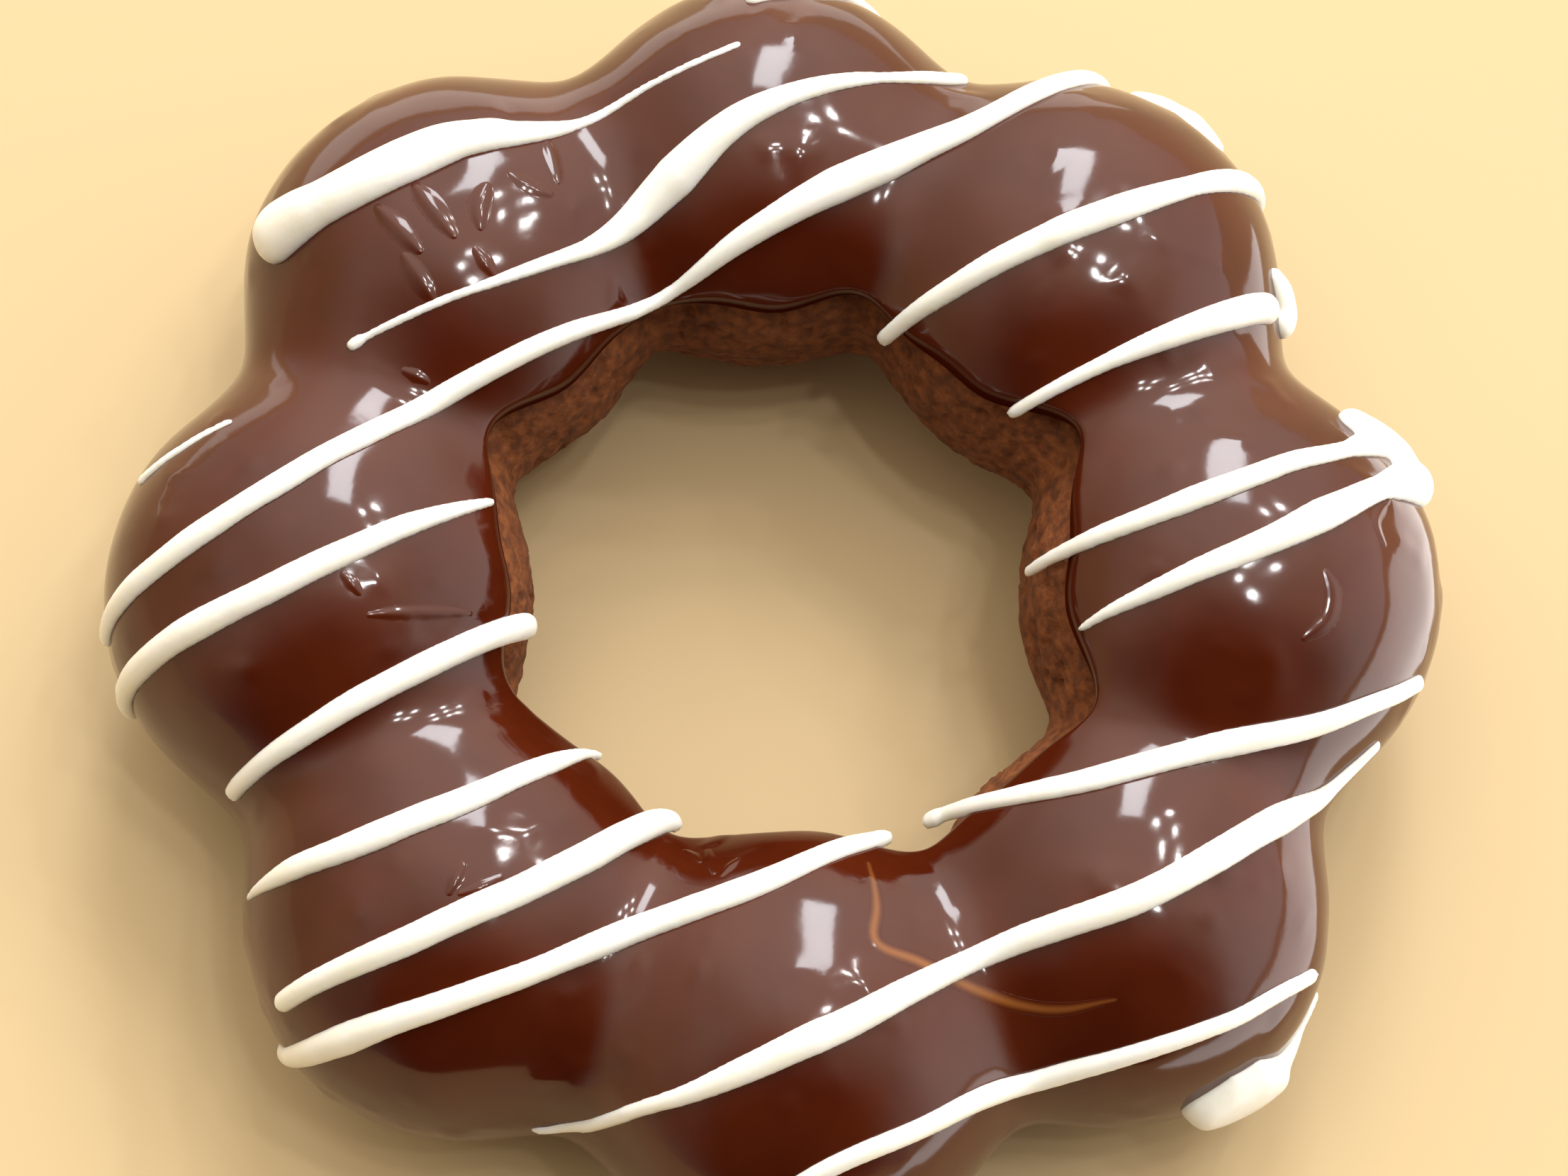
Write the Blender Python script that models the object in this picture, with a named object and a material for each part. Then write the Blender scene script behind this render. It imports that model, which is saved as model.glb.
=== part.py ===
"""A mochi doughnut: eight balls of dough fried as one ring, dipped in chocolate, with white drizzle.

Metres, +Z up. The ring stands on the plane z = 0, on a small flat spot under each ball, and the
middle of its outline's box is on the Z axis. +X is to the right of the shown view, and -Y is the
side towards the viewer.

A place on the ring is given by two angles. The bearing runs round the ring from +X towards +Y.
The over angle runs round the cross-section from straight out, over the top at a quarter turn, to
the wall of the hole at a half turn.
"""

import math

import bpy
import numpy as np

MM = 0.001

# Each ball of dough: bearing in degrees, and in millimetres how far its centre lies from the
# ring's centre, and its radius.
BALLS = (
    (1.0, 29.6, 13.3),
    (48.0, 29.5, 13.1),
    (91.5, 30.1, 12.5),
    (134.0, 30.9, 13.1),
    (179.5, 29.6, 13.6),
    (226.5, 29.5, 12.9),
    (272.5, 29.6, 13.0),
    (317.0, 30.9, 12.3),
)
BALL_SQUASH = 0.93
FLAT_SPOT_DEPTH = 0.8 * MM
DOUGH_BLEND = 1.8 * MM

# The circle that the cross-sections are measured from, and the shift that centres the outline.
RING_RADIUS = 31.0 * MM
RING_HEIGHT = 11.5 * MM
RING_SHIFT = (0.4 * MM, 0.0 * MM)
LONGEST_RAY = 26.0 * MM

# The chocolate: a skin that pools in the creases and stops at a wavy edge on either side.
COAT_GAP = 0.3 * MM
COAT_THICKNESS = 0.9 * MM
COAT_BLEND = 2.4 * MM
# At its edges the skin thins to this share, over the outermost rows only.
COAT_EDGE_SHARE = 0.6
COAT_EDGE_POWER = 12
# Height of each edge above the plate, and its waves: how many round the ring, phase in degrees,
# and millimetres up and down.
OUTER_EDGE_HEIGHT = 5.4 * MM
OUTER_EDGE_WAVES = ((3, 40.0, 0.6), (8, 110.0, 0.5), (13, 250.0, 0.3))
INNER_EDGE_HEIGHT = 17.4 * MM
INNER_EDGE_WAVES = ((1, 39.0, 1.45), (2, 104.0, 1.54), (3, -30.0, 0.31), (4, 103.0, 0.22), (15, 20.0, 0.25))
# The over angles, in degrees, between which each edge is looked for, and in how many steps.
OUTER_EDGE_SEARCH = (-55.0, 60.0)
INNER_EDGE_SEARCH = (120.0, 215.0)
EDGE_SEARCH_STEPS = 90

# The drizzle: a half-round bead, sunk far enough to stay in the chocolate across the creases.
BEAD_HEIGHT_SHARE = 0.5
BEAD_MOST_HEIGHT = 1.7 * MM
BEAD_SUNK = 0.55 * MM
BEAD_FOOT_SHARE = 0.9
# A stroke covers at least this much in plan for each millimetre that it runs down a side, and
# the sides are followed between these over angles.
PLAN_SHARE = 0.5
PROFILE_SPAN = (math.radians(-60), math.radians(230))
# Each stroke as the nozzle drew it, in millimetres: its widths, spread evenly along it, and the
# points that it passes over, as seen from above the ring's centre.
STROKES = (
    ((5.0, 3.6, 3.7, 2.5, 0.9, 0.6, 0.6),
     ((-33.9, 22.8), (-27.4, 25), (-21.2, 28), (-14.5, 29.7), (-8.4, 32.7), (-2.1, 35.4))),
    ((1.4, 0.9, 1.8, 3.0, 1.3, 0.7, 0.6), ((12.9, 35.6), (-1.3, 30.2), (-13.1, 20.7), (-27.1, 14.7))),
    ((1.9, 1.9, 2.6, 1.0, 1.6, 1.7, 1.8, 1.4),
     ((22.8, 36.8), (17.4, 32.7), (4.8, 25.9), (-7.7, 18.9), (-20.3, 11.9), (-32.1, 3.8), (-44.7, -3.3))),
    ((0.9,), ((-26.6, 15), (-27.1, 14.7), (-27.7, 14.3))),
    ((0.9, 0.6), ((-41.7, 6.6), (-38.4, 8.1), (-35, 9.6))),
    ((0.6, 1.6, 1.9, 2.0, 1.8, 1.6), ((-18.1, 4.5), (-31.2, -2.5), (-44.6, -7.6))),
    ((1.9, 1.9, 1.2), ((-15.6, -2.8), (-25.1, -8.8), (-35.2, -14))),
    ((0.5, 1.5, 1.8, 2.0, 1.7, 0.4), ((-10.9, -10.8), (-18.2, -15.6), (-25.9, -18.8), (-34, -20.9))),
    ((2.0, 2.1, 1.4), ((-6.4, -15.1), (-13.9, -20.9), (-22.4, -25), (-31.4, -28))),
    ((1.4, 2.0, 1.7, 2.1, 1.3),
     ((7.5, -16.7), (-0.5, -21), (-8.9, -24.1), (-17.2, -27.8), (-25.8, -30.3), (-34.7, -31.5))),
    ((0.9, 2.1, 2.1, 1.7, 2.2, 1.1, 0.8),
     ((40, -10.1), (31.9, -16.7), (23.1, -22.3), (13.2, -25.5), (4.1, -30.7), (-5.6, -34.6), (-15.9, -36))),
    ((1.1, 1.7, 1.2),
     ((34.7, -25.6), (28.7, -29.3), (21.9, -31.6), (15, -33.2), (8.7, -36.6), (2.3, -39.6), (-4.1, -42.8))),
    ((1.3, 1.8, 1.9, 1.1), ((42.8, -6.2), (35.3, -10.1), (27, -12.3), (18.9, -14.8), (10.5, -15.3))),
    ((1.4,), ((9.7, -15.4), (10.4, -15.4), (11.1, -15.3))),
    ((2.7, 3.1, 1.3, 1.6, 1.7, 1.3, 0.8),
     ((42.1, 11.9), (37.9, 8.2), (32.7, 5.9), (27.4, 3.5), (21.9, 1.7), (16.3, 0.4))),
    ((2.8, 3.5, 1.8, 2.3, 1.8, 1.3, 0.5), ((44.3, 8.7), (32.6, 1), (19.6, -4.3))),
    ((2.2, 3.0, 3.4, 2.6), ((37, 11), (39.2, 9.9), (41, 9.2), (43, 7))),
    ((1.4, 1.9, 1.6, 2.0, 1.9, 1.5, 1.1), ((34, 29), (25.2, 24.4), (16.1, 20.4), (7, 16.5))),
    ((2.2, 2.1, 1.2, 0.9), ((33.1, 19), (24.4, 14.5), (15.3, 10.6))),
    ((1.0, 2.4, 2.6, 2.0), ((33.3, 22), (34.6, 20.2), (34, 18.5))),
    ((1.5,), ((9, 43.5), (4, 41.5), (-2, 39.5))),
    ((2.8, 3.6, 3.2, 1.4), ((24.9, 37.3), (28.8, 34.8), (31.2, 32.2))),
    ((1.8, 6.6, 7.2, 2.4, 0.9, 0.8), ((26.6, -34.7), (30.9, -33.4), (34.6, -30.7), (36.7, -26.8))),
)

# How far to either side of a point the surface's slope is taken.
SLOPE_REACH = 0.05 * MM

# How finely each surface is cut up.
COLUMNS = 80
DOUGH_ROWS = 18
COAT_ROWS = 12
COAT_UNDER_ROWS = 13
RAY_STEPS = 26
PROFILE_STEP = math.radians(3.0)
LINE_SPACING = 0.5 * MM
BEAD_SPACING = 3.7 * MM
FEWEST_BEAD_PARTS = 3
BEAD_ARC_POINTS = 5
# Where the rounded end of a bead has its sections, as shares of its half width.
BEAD_END_SHARES = (0.0, 0.4, 1.0)
BEAD_TIP_SHARE = 0.35


def ball_distance(points, bearing_degrees, distance, radius):
    """How far outside one ball each point is."""
    turn = math.radians(bearing_degrees)
    away = np.array([math.cos(turn), math.sin(turn), 0.0])
    along = np.array([-math.sin(turn), math.cos(turn), 0.0])
    reach = radius * MM
    centre_height = reach * BALL_SQUASH - FLAT_SPOT_DEPTH
    offset = points - away * distance * MM
    squashed = np.stack(
        [offset @ away, offset @ along, (offset[..., 2] - centre_height) / BALL_SQUASH], axis=-1
    )
    return np.linalg.norm(squashed, axis=-1) - reach


def ring_distance(points, blend):
    """How far each point is outside the balls, with the creases between them softened by blend."""
    gaps = np.stack([ball_distance(points, *ball) for ball in BALLS])
    nearest = gaps.min(axis=0)
    return nearest - blend * np.log(np.exp((nearest - gaps) / blend).sum(axis=0))


def surface_points(bearings, overs, blend, levels):
    """Where the ray at each bearing and over angle leaves the ring's surface raised by levels."""
    bearings, overs, levels = np.broadcast_arrays(bearings, overs, levels)
    outward = np.stack([np.cos(bearings), np.sin(bearings), np.zeros_like(bearings)], axis=-1)
    rays = outward * np.cos(overs)[..., None] + np.array([0, 0, 1]) * np.sin(overs)[..., None]
    starts = outward * RING_RADIUS + np.array([0, 0, RING_HEIGHT])
    near = np.zeros(bearings.shape)
    far = np.full(bearings.shape, LONGEST_RAY)
    for _ in range(RAY_STEPS):
        middle = (near + far) / 2
        inside = ring_distance(starts + middle[..., None] * rays, blend) < levels
        near = np.where(inside, middle, near)
        far = np.where(inside, far, middle)
    return starts + near[..., None] * rays


def coat_points(bearings, overs):
    """Points on the outside of the chocolate."""
    return surface_points(bearings, overs, COAT_BLEND, COAT_GAP + COAT_THICKNESS)


def coat_normals(points):
    """The direction in which the outside of the chocolate faces at each point."""
    reach = SLOPE_REACH
    slopes = [
        ring_distance(points + step, COAT_BLEND) - ring_distance(points - step, COAT_BLEND)
        for step in np.eye(3) * reach
    ]
    slopes = np.stack(slopes, axis=-1)
    return slopes / np.linalg.norm(slopes, axis=-1, keepdims=True)


def waves(bearings, table):
    """The sum of a table's waves round the ring."""
    return sum(
        size * MM * np.sin(count * bearings + math.radians(phase)) for count, phase, size in table
    )


def over_at_height(bearings, heights, first_over, last_over):
    """The over angle at which the chocolate passes each height, between two angles in degrees."""
    overs = np.radians(np.linspace(first_over, last_over, EDGE_SEARCH_STEPS))
    climb = coat_points(bearings[:, None], overs[None, :])[..., 2]
    found = []
    for column, height in zip(climb, heights):
        order = np.argsort(column)
        found.append(np.interp(height, column[order], overs[order]))
    return np.array(found)


def coat_edges(bearings):
    """The over angles of the chocolate's lower edges, outside the ring and in its hole."""
    outer_heights = OUTER_EDGE_HEIGHT + waves(bearings, OUTER_EDGE_WAVES)
    inner_heights = INNER_EDGE_HEIGHT + waves(bearings, INNER_EDGE_WAVES)
    outer = over_at_height(bearings, outer_heights, *OUTER_EDGE_SEARCH)
    inner = over_at_height(bearings, inner_heights, *INNER_EDGE_SEARCH)
    return outer, inner


def make_material(name, colour, roughness):
    material = bpy.data.materials.new(name)
    material.use_nodes = True
    shader = material.node_tree.nodes["Principled BSDF"]
    shader.inputs["Base Color"].default_value = (*colour, 1.0)
    shader.inputs["Roughness"].default_value = roughness
    material.diffuse_color = (*colour, 1.0)
    return material


def make_object(name, points, faces, material):
    """A smooth mesh object from points measured from the ring's centre."""
    mesh = bpy.data.meshes.new(name)
    moved = points + np.array([*RING_SHIFT, 0.0])
    mesh.from_pydata(moved.tolist(), [], faces)
    mesh.materials.append(material)
    mesh.shade_smooth()
    mesh.update()
    item = bpy.data.objects.new(name, mesh)
    bpy.context.scene.collection.objects.link(item)
    return item


def tube_faces(columns, rows):
    """Quads of a grid of points that closes on itself both ways."""
    faces = []
    for column in range(columns):
        after = (column + 1) % columns
        for row in range(rows):
            above = (row + 1) % rows
            faces.append(
                (
                    column * rows + row,
                    after * rows + row,
                    after * rows + above,
                    column * rows + above,
                )
            )
    return faces


def stop_at_floor(points, bearings):
    """Draws points under the plane z = 0 back along their rays to that plane."""
    bearings = np.broadcast_to(bearings, points.shape[:-1])
    centres = np.stack([np.cos(bearings), np.sin(bearings)], axis=-1) * RING_RADIUS
    kept = RING_HEIGHT / np.maximum(RING_HEIGHT - points[..., 2], RING_HEIGHT)
    flat = centres + (points[..., :2] - centres) * kept[..., None]
    heights = np.maximum(points[..., 2], 0.0)
    return np.concatenate([flat, heights[..., None]], axis=-1)


def make_dough(material):
    """The ring of balls, cut flat where each one stands."""
    bearings = np.arange(COLUMNS) * math.tau / COLUMNS
    overs = -math.pi / 2 + np.arange(DOUGH_ROWS) * math.tau / DOUGH_ROWS
    points = surface_points(bearings[:, None], overs[None, :], DOUGH_BLEND, 0.0)
    points = stop_at_floor(points, bearings[:, None])
    faces = tube_faces(COLUMNS, DOUGH_ROWS)
    return make_object("dough_ring", points.reshape(-1, 3), faces, material)


def make_coat(material):
    """The chocolate skin, closed underneath just clear of the dough."""
    bearings = np.arange(COLUMNS) * math.tau / COLUMNS
    outer_edge, inner_edge = coat_edges(bearings)
    across = np.linspace(0, 1, COAT_ROWS)
    overs = outer_edge[:, None] + (inner_edge - outer_edge)[:, None] * across
    thinning = (1 - COAT_EDGE_SHARE) * np.abs(2 * across - 1) ** COAT_EDGE_POWER
    levels = COAT_GAP + COAT_THICKNESS * (1 - thinning)
    top = surface_points(bearings[:, None], overs, COAT_BLEND, levels)
    back = np.linspace(1, 0, COAT_UNDER_ROWS)
    overs = outer_edge[:, None] + (inner_edge - outer_edge)[:, None] * back
    under = surface_points(bearings[:, None], overs, DOUGH_BLEND, COAT_GAP)
    points = np.concatenate([top, under], axis=1)
    faces = tube_faces(COLUMNS, COAT_ROWS + COAT_UNDER_ROWS)
    return make_object("chocolate_coat", points.reshape(-1, 3), faces, material)


def smooth_path(points, spacing):
    """Points at an even spacing along a smooth curve through the given points."""
    points = np.array(points, float)
    legs = np.linalg.norm(np.diff(points, axis=0), axis=1)
    knots = np.concatenate([[0], np.cumsum(legs)])
    slopes = np.gradient(points, knots, axis=0)
    count = max(3, int(round(knots[-1] / spacing)) + 1)
    places = np.linspace(0, knots[-1], count)
    leg = np.clip(np.searchsorted(knots, places) - 1, 0, len(legs) - 1)
    width = legs[leg]
    share = (places - knots[leg]) / width
    width, share = width[:, None], share[:, None]
    return (
        (1 + 2 * share) * (1 - share) ** 2 * points[leg]
        + share * (1 - share) ** 2 * width * slopes[leg]
        + share**2 * (3 - 2 * share) * points[leg + 1]
        + share**2 * (share - 1) * width * slopes[leg + 1]
    )


def lay_on_coat(plan):
    """The bearing and over angle of the place on the chocolate under each point seen from above.

    Near the top a point lies straight below. Down the sides, where the wall turns away from
    above, a stroke's plan length is spread so that it runs on down the wall.
    """
    bearings = np.arctan2(plan[:, 1], plan[:, 0])
    overs = np.arange(*PROFILE_SPAN, PROFILE_STEP)
    profile = coat_points(bearings[:, None], overs[None, :])
    from_axis = np.hypot(profile[..., 0], profile[..., 1])
    steps = np.linalg.norm(np.diff(profile, axis=1), axis=2)
    steps = np.maximum(np.abs(np.diff(from_axis, axis=1)), PLAN_SHARE * steps)
    spread = np.concatenate([np.zeros((len(plan), 1)), np.cumsum(steps, axis=1)], axis=1)
    top = int(np.argmin(np.abs(overs - math.pi / 2)))
    spread = from_axis[:, [top]] + spread[:, [top]] - spread
    wanted = np.hypot(plan[:, 0], plan[:, 1])
    found = [np.interp(want, row[::-1], overs[::-1]) for want, row in zip(wanted, spread)]
    return bearings, np.array(found)


def stroke_line(points):
    """A stroke's middle line on the chocolate, finely divided."""
    plan = smooth_path(np.array(points, float) * MM, LINE_SPACING)
    bearings, overs = lay_on_coat(plan)
    return coat_points(bearings, overs)


def bead_stations(line, widths):
    """Evenly spaced places along a line, closer at its round ends, with the bead's width at each."""
    lengths = np.concatenate([[0], np.cumsum(np.linalg.norm(np.diff(line, axis=0), axis=1))])
    total = lengths[-1]
    first, last = widths[0] * MM / 2, widths[-1] * MM / 2
    between = max(FEWEST_BEAD_PARTS, int(round((total - first - last) / BEAD_SPACING)))
    middle = np.linspace(first, total - last, between + 1)[1:-1]
    starts = [first * share for share in BEAD_END_SHARES]
    ends = [total - last * share for share in reversed(BEAD_END_SHARES)]
    places = np.concatenate([starts, middle, ends])
    line = np.stack([np.interp(places, lengths, line[:, axis]) for axis in range(3)], axis=1)
    if len(widths) == 1:
        widths = widths * 2
    width = np.interp(places / total, np.linspace(0, 1, len(widths)), widths) * MM
    to_end = np.minimum(places / first, (total - places) / last)
    rounding = np.sqrt(np.clip(1 - (1 - np.minimum(to_end, 1)) ** 2, BEAD_TIP_SHARE**2, 1))
    return line, width * rounding


def make_bead(name, widths, points, material):
    """One stroke of drizzle as a closed half-round bead."""
    line, width = bead_stations(stroke_line(points), widths)
    normals = coat_normals(line)
    ahead = np.gradient(line, axis=0)
    sides = np.cross(ahead, normals)
    sides /= np.linalg.norm(sides, axis=1, keepdims=True)
    height = np.minimum(BEAD_HEIGHT_SHARE * width, BEAD_MOST_HEIGHT)
    turns = np.linspace(0, math.pi, BEAD_ARC_POINTS)
    across = np.append(np.cos(turns), [-BEAD_FOOT_SHARE, BEAD_FOOT_SHARE]) * (width / 2)[:, None]
    lift = np.append(np.sin(turns), [0, 0]) * height[:, None]
    lift[:, BEAD_ARC_POINTS:] = -BEAD_SUNK
    section = line[:, None] + across[..., None] * sides[:, None] + lift[..., None] * normals[:, None]
    rows = BEAD_ARC_POINTS + 2
    last = len(line) - 1
    faces = [list(range(rows))]
    for station in range(last):
        for row in range(rows):
            above = (row + 1) % rows
            here, after = station * rows, (station + 1) * rows
            faces.append((here + row, after + row, after + above, here + above))
    faces.append([last * rows + row for row in reversed(range(rows))])
    return make_object(name, section.reshape(-1, 3), faces, material)


def fuse(body, pieces):
    """Joins the pieces to the body as one closed mesh, and removes them."""
    helpers = bpy.data.collections.new("drizzle_beads")
    bpy.context.scene.collection.children.link(helpers)
    for piece in pieces:
        bpy.context.scene.collection.objects.unlink(piece)
        helpers.objects.link(piece)
    union = body.modifiers.new("drizzle", "BOOLEAN")
    union.operation = "UNION"
    union.operand_type = "COLLECTION"
    union.collection = helpers
    # The exact solver leaves open edges where strokes cross.
    union.solver = "MANIFOLD"
    bpy.context.view_layer.update()
    evaluated = body.evaluated_get(bpy.context.evaluated_depsgraph_get())
    fused = bpy.data.meshes.new_from_object(evaluated)
    body.modifiers.remove(union)
    body.data = fused
    for piece in list(helpers.objects):
        bpy.data.objects.remove(piece)
    bpy.data.collections.remove(helpers)


def main():
    for item in list(bpy.data.objects):
        bpy.data.objects.remove(item)
    dough = make_material("fried_dough", (0.17, 0.055, 0.018), 0.8)
    chocolate = make_material("milk_chocolate", (0.075, 0.018, 0.008), 0.15)
    make_dough(dough)
    coat = make_coat(chocolate)
    beads = [
        make_bead(f"bead_{index}", widths, points, chocolate)
        for index, (widths, points) in enumerate(STROKES)
    ]
    fuse(coat, beads)


main()
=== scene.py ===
"""The looks of the mochi doughnut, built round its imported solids: coat, drizzle, crumb and studio.

A place on the ring is a bearing, round the ring from +X to +Y, and an over angle, round the
ring's section: 0 outward, a quarter turn on top, half a turn at the wall of the hole.
Sizes are in metres except in the tables, which are in millimetres and degrees.
"""

import itertools
import math

import bpy
import numpy as np
from mathutils import Matrix, Vector

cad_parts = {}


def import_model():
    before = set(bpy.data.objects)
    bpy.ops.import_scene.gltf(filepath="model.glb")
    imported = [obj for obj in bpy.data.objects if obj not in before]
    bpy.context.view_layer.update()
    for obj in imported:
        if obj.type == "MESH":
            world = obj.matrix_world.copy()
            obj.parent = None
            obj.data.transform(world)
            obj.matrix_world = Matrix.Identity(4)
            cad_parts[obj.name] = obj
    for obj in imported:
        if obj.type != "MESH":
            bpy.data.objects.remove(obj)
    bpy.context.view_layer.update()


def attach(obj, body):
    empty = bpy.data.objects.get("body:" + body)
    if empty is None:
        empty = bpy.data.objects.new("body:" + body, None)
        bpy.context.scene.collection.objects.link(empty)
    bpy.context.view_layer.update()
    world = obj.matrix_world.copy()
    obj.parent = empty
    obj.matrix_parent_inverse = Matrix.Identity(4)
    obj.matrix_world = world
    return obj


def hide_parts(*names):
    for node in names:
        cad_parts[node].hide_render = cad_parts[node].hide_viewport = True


MM = 0.001

# The ring of balls, as in the solids: bearing in degrees, distance from the ring's centre and
# radius.
BALLS = (
    (1.0, 29.6, 13.3),
    (48.0, 29.5, 13.1),
    (91.5, 30.1, 12.5),
    (134.0, 30.9, 13.1),
    (179.5, 29.6, 13.6),
    (226.5, 29.5, 12.9),
    (272.5, 29.6, 13.0),
    (317.0, 30.9, 12.3),
)
BALL_SQUASH = 0.93
FLAT_SPOT_DEPTH = 0.8 * MM
DOUGH_BLEND = 1.8 * MM
RING_RADIUS = 31.0 * MM
RING_HEIGHT = 11.5 * MM
RING_SHIFT = (0.4 * MM, 0.0 * MM)
LONGEST_RAY = 26.0 * MM
RAY_STEPS = 22
# How far to either side of a point the ring's slope is taken.
SLOPE_REACH = 0.05 * MM

# The coat, as in the solids, with its edges by height and their waves: count, phase and size.
COAT_GAP = 0.3 * MM
COAT_THICKNESS = 0.9 * MM
COAT_BLEND = 2.4 * MM
OUTER_EDGE_HEIGHT = 5.4 * MM
OUTER_EDGE_WAVES = ((3, 40.0, 0.6), (8, 110.0, 0.5), (13, 250.0, 0.3))
INNER_EDGE_HEIGHT = 17.4 * MM
INNER_EDGE_WAVES = (
    (1, 39.0, 1.45),
    (2, 104.0, 1.54),
    (3, -30.0, 0.31),
    (4, 103.0, 0.22),
    (15, 20.0, 0.25),
)
# The over angles between which each edge is looked for, and in how many steps.
OUTER_EDGE_SEARCH = (math.radians(-55), math.radians(60))
INNER_EDGE_SEARCH = (math.radians(120), math.radians(215))
EDGE_SEARCH_STEPS = 90
# The width over which the coat rounds down to its edge.
EDGE_LIP = 1.6 * MM

# The drizzle: the widths evenly along each stroke, and its path seen from above.
STROKES = (
    ((5.0, 3.6, 3.7, 2.5, 0.9, 0.6, 0.6),
     ((-33.9, 22.8), (-27.4, 25), (-21.2, 28), (-14.5, 29.7), (-8.4, 32.7), (-2.1, 35.4))),
    ((1.4, 0.9, 1.8, 3.0, 1.3, 0.7, 0.6),
     ((12.9, 35.6), (-1.3, 30.2), (-13.1, 20.7), (-27.1, 14.7))),
    ((1.9, 1.9, 2.6, 1.0, 1.6, 1.7, 1.8, 1.4),
     ((22.8, 36.8), (17.4, 32.7), (4.8, 25.9), (-7.7, 18.9), (-20.3, 11.9), (-32.1, 3.8),
      (-44.7, -3.3))),
    ((0.9,), ((-26.6, 15), (-27.1, 14.7), (-27.7, 14.3))),
    ((0.9, 0.6), ((-41.7, 6.6), (-38.4, 8.1), (-35, 9.6))),
    ((0.6, 1.6, 1.9, 2.0, 1.8, 1.6), ((-18.1, 4.5), (-31.2, -2.5), (-44.6, -7.6))),
    ((1.9, 1.9, 1.2), ((-15.6, -2.8), (-25.1, -8.8), (-35.2, -14))),
    ((0.5, 1.5, 1.8, 2.0, 1.7, 0.4),
     ((-10.9, -10.8), (-18.2, -15.6), (-25.9, -18.8), (-34, -20.9))),
    ((2.0, 2.1, 1.4), ((-6.4, -15.1), (-13.9, -20.9), (-22.4, -25), (-31.4, -28))),
    ((1.4, 2.0, 1.7, 2.1, 1.3),
     ((7.5, -16.7), (-0.5, -21), (-8.9, -24.1), (-17.2, -27.8), (-25.8, -30.3), (-34.7, -31.5))),
    ((0.9, 2.1, 2.1, 1.7, 2.2, 1.1, 0.8),
     ((40, -10.1), (31.9, -16.7), (23.1, -22.3), (13.2, -25.5), (4.1, -30.7), (-5.6, -34.6),
      (-15.9, -36))),
    ((1.1, 1.7, 1.2),
     ((34.7, -25.6), (28.7, -29.3), (21.9, -31.6), (15, -33.2), (8.7, -36.6), (2.3, -39.6),
      (-4.1, -42.8))),
    ((1.3, 1.8, 1.9, 1.1),
     ((42.8, -6.2), (35.3, -10.1), (27, -12.3), (18.9, -14.8), (10.5, -15.3))),
    ((1.4,), ((9.7, -15.4), (10.4, -15.4), (11.1, -15.3))),
    ((2.7, 3.1, 1.3, 1.6, 1.7, 1.3, 0.8),
     ((42.1, 11.9), (37.9, 8.2), (32.7, 5.9), (27.4, 3.5), (21.9, 1.7), (16.3, 0.4))),
    ((2.8, 3.5, 1.8, 2.3, 1.8, 1.3, 0.5), ((44.3, 8.7), (32.6, 1), (19.6, -4.3))),
    ((2.2, 3.0, 3.4, 2.6), ((37, 11), (39.2, 9.9), (41, 9.2), (43, 7))),
    ((1.4, 1.9, 1.6, 2.0, 1.9, 1.5, 1.1), ((34, 29), (25.2, 24.4), (16.1, 20.4), (7, 16.5))),
    ((2.2, 2.1, 1.2, 0.9), ((33.1, 19), (24.4, 14.5), (15.3, 10.6))),
    ((1.0, 2.4, 2.6, 2.0), ((33.3, 22), (34.6, 20.2), (34, 18.5))),
    ((1.5,), ((9, 43.5), (4, 41.5), (-2, 39.5))),
    ((2.8, 3.6, 3.2, 1.4), ((24.9, 37.3), (28.8, 34.8), (31.2, 32.2))),
    ((1.8, 6.6, 7.2, 2.4, 0.9, 0.8), ((26.6, -34.7), (30.9, -33.4), (34.6, -30.7), (36.7, -26.8))),
)
# A bead's height as a share of its width, its greatest height, how deep its foot is sunk in the
# chocolate, and the foot's width as a share of the bead's.
BEAD_HEIGHT_SHARE = 0.42
BEAD_MOST_HEIGHT = 1.7 * MM
BEAD_SUNK = 0.35 * MM
BEAD_FOOT_SHARE = 0.9
# A stroke covers at least this much in plan for each millimetre that it runs down a side, and
# the sides are followed between these over angles.
PLAN_SHARE = 0.5
PROFILE_SPAN = (-math.pi / 3, 1.28 * math.pi)
PROFILE_STEP = math.radians(2)
LINE_SPACING = 0.4 * MM
FEWEST_SECTIONS = 3
# The sections of a bead's round end, the first of them this share of the way round it.
END_STATIONS = 7
END_START = 0.12
BEAD_ARC_POINTS = 13
# The places across a bead as turns of a half circle, and two profiles: full, and smooth at the
# sides.
ARC_TURNS = np.linspace(0, math.pi, BEAD_ARC_POINTS)
ROUND_PROFILE = np.sin(ARC_TURNS)
SMOOTH_PROFILE = 0.5 + 0.5 * np.cos(math.pi * np.cos(ARC_TURNS))
# How the nozzle wavers: in width as a share of it, and sideways, each with its seed.
WIDTH_WAVER = 0.07
WIDTH_WAVER_SEED = 31
SIDE_WAVER = 0.10 * MM
SIDE_WAVER_SEED = 32
WAVER_LENGTH = 5.0 * MM
# The mesh in which the strokes run together, and how it is smoothed.
DRIZZLE_VOXEL = 0.24 * MM
SOFTEN_SHARE = 0.5
SOFTEN_TIMES = 4

# A streak of paler chocolate, level with the coat.
STREAK = (
    (6.0, -19.3),
    (6.4, -22.8),
    (6.3, -25.0),
    (9.3, -26.4),
    (13.9, -28.2),
    (17.9, -28.9),
    (21.5, -28.5),
)
STREAK_WIDTHS = (0.4, 0.9, 1.1, 1.2, 1.1, 1.0, 0.4)
STREAK_HEIGHT_SHARE = 0.03
STREAK_SUNK = 0.02 * MM
STREAK_SOFTNESS = 1.5

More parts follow.
